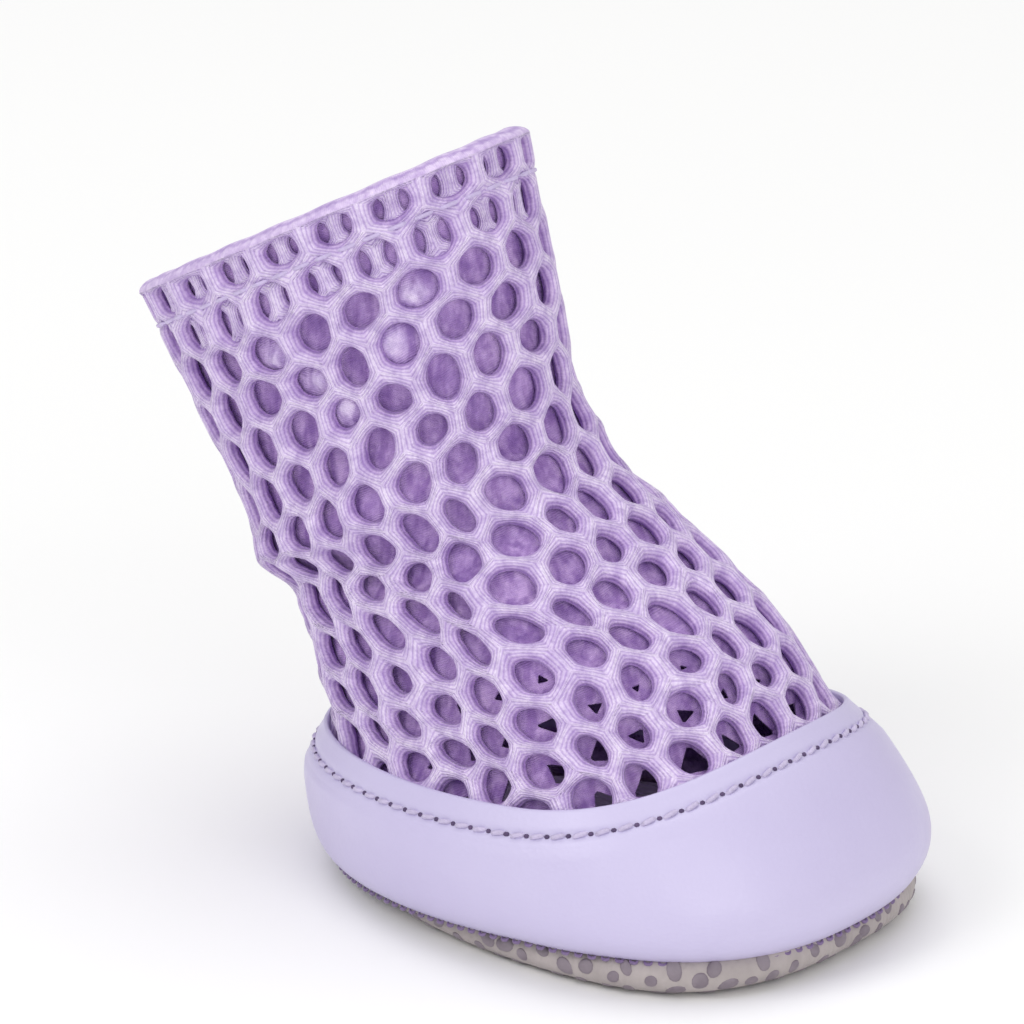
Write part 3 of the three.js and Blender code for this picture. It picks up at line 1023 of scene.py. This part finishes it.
def grip_dot(skin, nearest, radius, stretch, turn):
    """A low oval of rubber that follows the sole's skin: points and faces."""
    point = skin.points[nearest]
    normal = skin.normals[nearest]
    side = unit(np.cross(normal, DOT_LEAN))
    other = np.cross(normal, side)
    around = circle(DOT_SIDES)
    rings = []
    for size, lift in DOT_PROFILE:
        x = radius * size * stretch * np.cos(around)
        y = radius * size / stretch * np.sin(around)
        across = x * math.cos(turn) - y * math.sin(turn)
        up = x * math.sin(turn) + y * math.cos(turn)
        rings.append(skin.settled(point + across[:, None] * side + up[:, None] * other, lift * DOT_HEIGHT))
    points = np.vstack(rings + [point + normal * DOT_HEIGHT])
    points[:, 2] = np.maximum(points[:, 2], 0)
    faces = grid_faces(len(rings), DOT_SIDES)[:, ::-1].tolist()
    centre = len(points) - 1
    last = centre - DOT_SIDES
    faces += [[last + (i + 1) % DOT_SIDES, last + i, centre] for i in range(DOT_SIDES)]
    return points, faces


def grip_dots(rng, material):
    """Dots all over the sole's skin, in uneven rows."""
    skin = SoleSkin()
    along, across = DOT_COUNTS
    points = []
    faces = []
    for i in range(-along, along + 1):
        for j in range(-across, across + 1):
            even = np.array([(i + 0.5 * (j % 2)) * DOT_PITCH, j * DOT_PITCH * DOT_ROW])
            spot = even + rng.normal(0, DOT_SCATTER, 2)
            nearest = np.argmin(np.sum((skin.flat - spot) ** 2, axis=1))
            if abs(spot[0]) > DOT_REACH or np.linalg.norm(skin.flat[nearest] - spot) > DOT_OFF_SKIN:
                continue
            radius = DOT_RADIUS * rng.uniform(*DOT_SIZES)
            stretch = rng.uniform(*DOT_STRETCH)
            dot_points, dot_faces = grip_dot(skin, nearest, radius, stretch, rng.uniform(0, math.pi))
            start = len(points)
            faces += [[start + corner for corner in face] for face in dot_faces]
            points.extend(dot_points)
    make_piece("grip_dots", material, "sole_grip", points, faces)


def sole_seam(material):
    """The thread of the seam between rand and sole, down in the groove; its dark is partly painted shade."""
    def line(angle):
        return np.full_like(angle, SEAM_LEVEL)

    def drop_at(angle):
        return rand_hang(angle, RAND_ROLL) + SEAM_DROP

    line_of_stitches("sole_seam", material, "rand_leather", line, SEAM_HEIGHT, SEAM_STITCH, drop_at)


def sole_welt(material):
    """The sole's cloth where it turns up under the rand's lower edge."""
    angle = circle(SOLE_STEPS)
    rings = [cloth_points(angle, level, height) for level, height in WELT_PROFILE]
    ring_piece("sole_welt", material, "sole_grip", rings)


def insole(material):
    """The inner pad: a low cushion with a round edge."""
    angle = circle(INSOLE_STEPS)
    feather = dict(zip(SECTION_COLUMNS, SECTIONS[0]))
    profile = [(inset, 0) for inset in INSOLE_FACE]
    profile += INSOLE_EDGE
    profile += [(inset, 1) for inset in INSOLE_FACE[::-1]]
    rings = []
    for inset, share in profile:
        draw = INSOLE_INSET + inset
        x, y = egg_points(
            angle,
            feather["front"] * UPPER_HALF_LENGTH - draw,
            feather["back"] * UPPER_HALF_LENGTH + draw,
            feather["wide"] * UPPER_HALF_LENGTH,
            max(feather["width"] * UPPER_HALF_WIDTH - draw, INSOLE_LEAST_WIDTH),
            feather["toe"],
        )
        rings.append(np.stack([x, y, sole_top(x) + GAP + INSOLE_THICKNESS * share], axis=-1))
    piece = ring_piece("insole_pad", material, "insole_cloth", rings, caps=True)
    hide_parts("insole")


# Materials


class Shader:
    """A material being wired: its nodes, its links and its surface shader."""

    def __init__(self, name, **sockets):
        self.material = bpy.data.materials.new(name)
        self.material.use_nodes = True
        self.tree = self.material.node_tree
        self.surface = self.tree.nodes["Principled BSDF"]
        for socket, value in sockets.items():
            self.surface.inputs[socket.replace("_", " ")].default_value = value

    def node(self, kind, inputs=None, **settings):
        made = self.tree.nodes.new(kind)
        for setting, value in settings.items():
            setattr(made, setting, value)
        for socket, value in (inputs or {}).items():
            if isinstance(value, bpy.types.NodeSocket):
                self.tree.links.new(value, made.inputs[socket])
            else:
                made.inputs[socket].default_value = value
        return made

    def link(self, output, socket):
        self.tree.links.new(output, self.surface.inputs[socket])

    def place(self):
        """The point in the boot's own space, in metres."""
        return self.node("ShaderNodeTexCoord").outputs["Object"]

    def ramp(self, factor, *stops):
        """Colours at places along a factor."""
        made = self.node("ShaderNodeValToRGB", {"Fac": factor})
        elements = made.color_ramp.elements
        while len(elements) < len(stops):
            elements.new(0.5)
        for element, (position, colour) in zip(elements, stops):
            element.position = position
            element.color = (*colour, 1)
        return made.outputs["Color"]

    def noise(self, scale, detail=3.0, roughness=0.55):
        inputs = {"Vector": self.place(), "Scale": scale, "Detail": detail, "Roughness": roughness}
        return self.node("ShaderNodeTexNoise", inputs).outputs["Fac"]

    def wave(self, direction, vector, scale, distortion, more=None):
        """Bands of thread across a direction."""
        inputs = {"Vector": vector, "Scale": scale, "Distortion": distortion, **(more or {})}
        return self.node("ShaderNodeTexWave", inputs, bands_direction=direction).outputs["Fac"]

    def times(self, first, second):
        """Two colours multiplied."""
        made = self.node("ShaderNodeMix", data_type="RGBA", blend_type="MULTIPLY")
        sockets = {socket.identifier: socket for socket in made.inputs}
        sockets["Factor_Float"].default_value = 1
        self.tree.links.new(first, sockets["A_Color"])
        self.tree.links.new(second, sockets["B_Color"])
        return next(socket for socket in made.outputs if socket.identifier == "Result_Color")

    def blotches(self, dark, light, scale, detail=3.0, light_from=0.7, socket="Base Color"):
        """Two shades that run into each other in soft blotches, on one socket of the surface."""
        self.link(self.ramp(self.noise(scale, detail), (0.3, dark), (light_from, light)), socket)

    def bumps(self, *layers):
        """Bumps over one another: each has a height, a distance in millimetres and a strength."""
        under = {}
        for height, distance, strength in layers:
            inputs = {"Height": height, "Distance": distance * MM, "Strength": strength, **under}
            under = {"Normal": self.node("ShaderNodeBump", inputs).outputs["Normal"]}
        self.link(under["Normal"], "Normal")


def yarn_material(name, stops, blotch, streak, groove_shade, scale, bump):
    """Knitted yarn: rings of thread round each hole, loops along them, and streaks down the cloth.

    Stops are its colours by depth, as painted shade that darkens down the holes.
    Blotch and streak tint its darker places, and the groove shade is painted shade between its rings of
    thread."""
    sheen = {"Sheen_Weight": 0.25, "Sheen_Roughness": 0.45, "Sheen_Tint": (0.9, 0.85, 1, 1)}
    shader = Shader(name, Roughness=0.62, **sheen)
    depth = shader.node("ShaderNodeAttribute", attribute_name="depth").outputs["Fac"]
    flat = shader.node("ShaderNodeUVMap", uv_map="yarn").outputs["UV"]
    inputs = {"Vector": shader.place(), "Scale": (1, 1, 0.22)}
    long = shader.node("ShaderNodeMapping", inputs).outputs["Vector"]
    lines = shader.node("ShaderNodeTexNoise", {"Vector": long, "Scale": 900.0, "Detail": 3.0}).outputs["Fac"]
    rings = shader.wave("Y", flat, scale, 2.8, {"Detail": 3.0, "Phase Offset": math.pi / 2})
    loops = shader.wave("X", flat, 1.5 * scale, 2.5, {"Detail": 2.0})
    # The groove shade is painted shade between the rings of thread. The other tints are the yarn's own uneven
    # tone.
    tints = (
        (shader.noise(160, 4), 0.3, blotch, 0.7),
        (shader.noise(800, 3, 0.65), 0.38, FLECK, 0.62),
        (lines, 0.36, streak, 0.6),
        (rings, 0.0, groove_shade, 0.5),
        (loops, 0.05, LOOP_TINT, 0.6),
    )
    colour = shader.ramp(depth, *stops)
    for factor, dark_to, tint, white_from in tints:
        colour = shader.times(colour, shader.ramp(factor, (dark_to, tint), (white_from, WHITE)))
    shader.link(colour, "Base Color")
    shader.bumps(
        (rings, bump, 1),
        (loops, 0.3 * bump, 1),
        (shader.noise(420), 3 * bump, 1),
        (shader.noise(1500), 1.4 * bump, 1),
    )
    return shader.material


def outer_yarn():
    return yarn_material(
        "mesh_yarn",
        # Stops by depth are painted shade: pale on the strands' faces, darker and more violet down the holes.
        stops=((0.0, (0.87, 0.77, 0.955)), (0.3, (0.71, 0.56, 0.835)), (0.8, (0.48, 0.305, 0.63))),
        blotch=(0.9, 0.86, 0.94),
        streak=(0.93, 0.9, 0.95),
        groove_shade=(0.72, 0.64, 0.82),
        scale=0.46,
        bump=0.08,
    )


def inner_yarn():
    return yarn_material(
        "inner_yarn",
        # Stops are painted shade: violet over the inner layer and darkest at its openings. The palest stop is
        # the painted light of its bulges.
        stops=((0.0, (0.9, 0.8, 0.97)), (0.38, (0.74, 0.525, 0.88)), (1.0, (0.28, 0.15, 0.4))),
        blotch=(0.78, 0.72, 0.86),
        streak=(0.6, 0.5, 0.7),
        groove_shade=(0.9, 0.88, 0.93),
        scale=1.5,
        bump=0.04,
    )


def leather_material():
    """Smooth coated leather with a faint grain."""
    shader = Shader("rand_leather", Roughness=0.42, Coat_Weight=0.12, Coat_Roughness=0.35)
    shader.blotches((0.545, 0.49, 0.72), (0.585, 0.535, 0.755), 45)
    shader.blotches((0.36, 0.36, 0.36), (0.48, 0.48, 0.48), 300, 4, socket="Roughness")
    inputs = {"Vector": shader.place(), "Scale": 1700.0}
    cells = shader.node("ShaderNodeTexVoronoi", inputs, feature="F1").outputs["Distance"]
    shader.bumps((shader.noise(90), 0.12, 1), (cells, 0.035, 0.6))
    return shader.material


def thread_material(name, colour):
    """Twisted sewing thread."""
    shader = Shader(name, Roughness=0.6, Sheen_Weight=0.15)
    shader.blotches(tuple(0.85 * part for part in colour), colour, 900, 2)
    shader.bumps((shader.wave("DIAGONAL", shader.place(), 420.0, 1.0), 0.08, 1))
    return shader.material


def sole_material():
    """Grey woven grip cloth."""
    shader = Shader("sole_cloth", Roughness=0.85, Sheen_Weight=0.1)
    shader.blotches((0.34, 0.3, 0.295), (0.46, 0.41, 0.4), 220, 4, light_from=0.72)
    weft, warp = (shader.wave(direction, shader.place(), 420.0, 1.5) for direction in "XY")
    shader.bumps((weft, 0.03, 1), (warp, 0.03, 1), (shader.noise(120), 0.25, 0.8))
    return shader.material


def dot_material():
    """Soft grey rubber."""
    shader = Shader("grip_rubber", Roughness=0.5)
    shader.blotches((0.18, 0.145, 0.175), (0.26, 0.22, 0.25), 400)
    shader.bumps((shader.noise(1800, 2), 0.03, 1))
    return shader.material


def insole_material():
    """Knitted lining cloth on the inner pad."""
    shader = Shader("insole_knit", Roughness=0.9, Sheen_Weight=0.2)
    shader.blotches((0.47, 0.36, 0.6), (0.57, 0.45, 0.7), 300)
    shader.bumps((shader.wave("Y", shader.place(), 300.0, 3.0), 0.15, 1))
    return shader.material


def needle_hole_shade_material():
    """Painted shade inside a needle hole."""
    shader = Shader("needle_hole_shade", Roughness=0.9)
    shader.blotches((0.07, 0.045, 0.11), (0.12, 0.08, 0.17), 800, 1)
    return shader.material


# Floor, light and camera


def floor():
    mesh = bpy.data.meshes.new("floor")
    corners = [(x * FLOOR_SIZE, y * FLOOR_SIZE, 0) for x, y in ((-1, -1), (1, -1), (1, 1), (-1, 1))]
    mesh.from_pydata(corners, [], [(0, 1, 2, 3)])
    shader = Shader("floor_paper", Roughness=0.9)
    shader.blotches((0.945, 0.945, 0.94), (0.96, 0.96, 0.955), 4, 2)
    mesh.materials.append(shader.material)
    piece = bpy.data.objects.new("floor", mesh)
    bpy.context.scene.collection.objects.link(piece)


def area_light(name, place, size, power):
    light = bpy.data.lights.new(name, "AREA")
    light.size = size
    light.energy = power
    lamp = bpy.data.objects.new(name, light)
    bpy.context.scene.collection.objects.link(lamp)
    lamp.location = place
    lamp.rotation_euler = (Vector(LIGHT_AIM) - Vector(place)).to_track_quat("-Z", "Y").to_euler()


def studio():
    world = bpy.data.worlds.new("studio")
    bpy.context.scene.world = world
    world.use_nodes = True
    background = world.node_tree.nodes["Background"]
    background.inputs["Color"].default_value = (1, 1, 1, 1)
    background.inputs["Strength"].default_value = WORLD_STRENGTH
    bpy.context.scene.view_settings.view_transform = "Standard"
    for name, settings in LIGHTS.items():
        area_light(name, *settings)


def camera():
    azimuth = math.radians(CAMERA_AZIMUTH)
    elevation = math.radians(CAMERA_ELEVATION)
    level = math.cos(elevation)
    back = Vector((math.sin(azimuth) * level, -math.cos(azimuth) * level, math.sin(elevation)))
    target = Vector(CAMERA_TARGET) * MM
    data = bpy.data.cameras.new("camera")
    data.sensor_fit = "HORIZONTAL"
    data.angle = 2 * math.atan(CAMERA_VIEW / 2 / CAMERA_DISTANCE)
    data.clip_start = CAMERA_CLIP
    eye = bpy.data.objects.new("camera", data)
    bpy.context.scene.collection.objects.link(eye)
    eye.location = target + back * CAMERA_DISTANCE * MM
    eye.rotation_euler = back.to_track_quat("Z", "Y").to_euler()
    bpy.context.scene.camera = eye


def build():
    rng = np.random.default_rng(SEED)
    pattern = MeshPattern()
    outer = outer_yarn()
    inner = inner_yarn()
    mesh_upper(pattern, rng, outer)
    hem_fold(pattern, outer)
    hem_layer("hem_strands", HEM_STRANDS, pattern, rng, outer)
    hem_layer("hem_inside", HEM_INSIDE, pattern, rng, outer)
    lining(pattern, rng, inner)
    foot_wall(inner)
    hem_stitches(pattern, thread_material("hem_thread", (0.6, 0.5, 0.76)))
    leather_rand(leather_material())
    rand_stitches(thread_material("rand_thread", (0.58, 0.51, 0.72)))
    needle_holes(needle_hole_shade_material())
    sole_cloth = sole_material()
    outsole(sole_cloth)
    sole_welt(sole_cloth)
    grip_dots(rng, dot_material())
    # The seam thread's dark colour is partly its own and partly painted shade under the rand's lip.
    sole_seam(thread_material("seam_thread", (0.22, 0.15, 0.3)))
    insole(insole_material())


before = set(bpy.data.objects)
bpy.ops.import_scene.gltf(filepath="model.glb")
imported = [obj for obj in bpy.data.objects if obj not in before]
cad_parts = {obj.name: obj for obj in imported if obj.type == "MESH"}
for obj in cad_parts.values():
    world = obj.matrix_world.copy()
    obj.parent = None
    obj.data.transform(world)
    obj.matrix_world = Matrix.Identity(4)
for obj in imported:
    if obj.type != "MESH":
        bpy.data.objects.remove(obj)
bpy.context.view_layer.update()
build()
floor()
studio()
camera()
